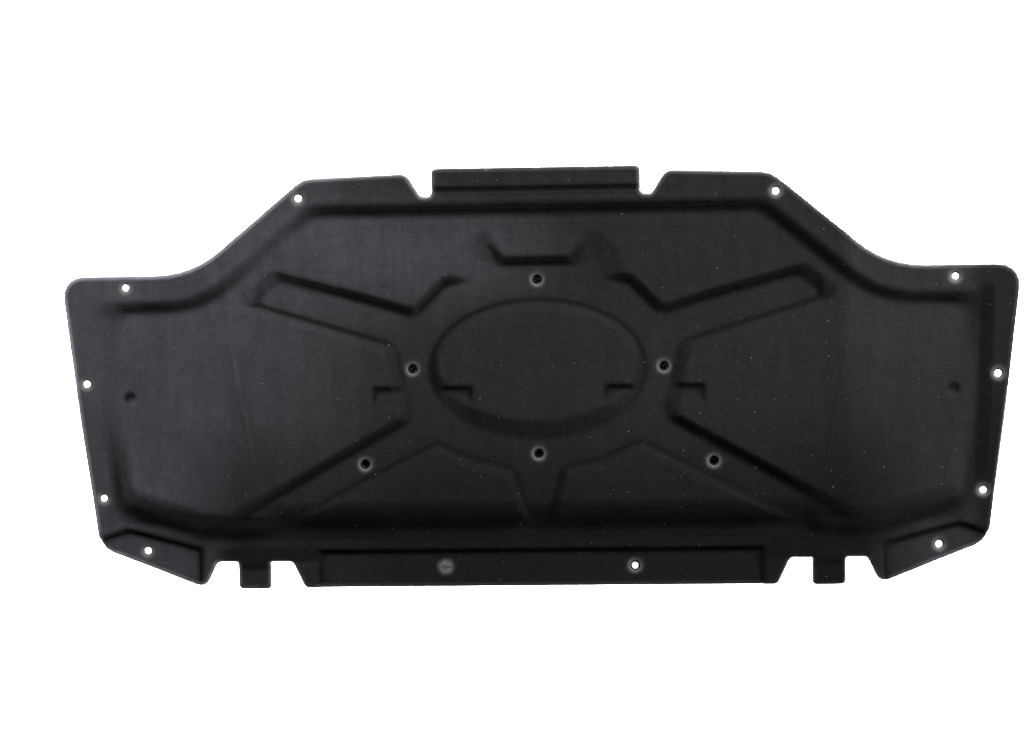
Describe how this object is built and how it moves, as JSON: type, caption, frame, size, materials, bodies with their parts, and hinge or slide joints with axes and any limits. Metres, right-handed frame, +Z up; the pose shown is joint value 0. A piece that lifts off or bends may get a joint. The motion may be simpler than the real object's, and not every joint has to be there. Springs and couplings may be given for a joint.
{
  "type": "hood insulation pad",
  "caption": "Moulded black felt pad that clips under a vehicle's hood, with pressed flanges, clip holes, raised pockets, channels and folded tabs.",
  "frame": {"origin": "middle of the area that the pad covers, on the surface that it lies on", "axes": "+X to the right of the face, the long way; +Y towards the top edge; +Z up, out of the moulded face"},
  "size_m": [1.1998, 0.5249, 0.039],
  "materials": {
    "black_felt": "black needled felt, matt, flatter and slightly shiny where it is pressed"
  },
  "bodies": {
    "root": {"insulation_pad": "black_felt"}
  },
  "joints": []
}
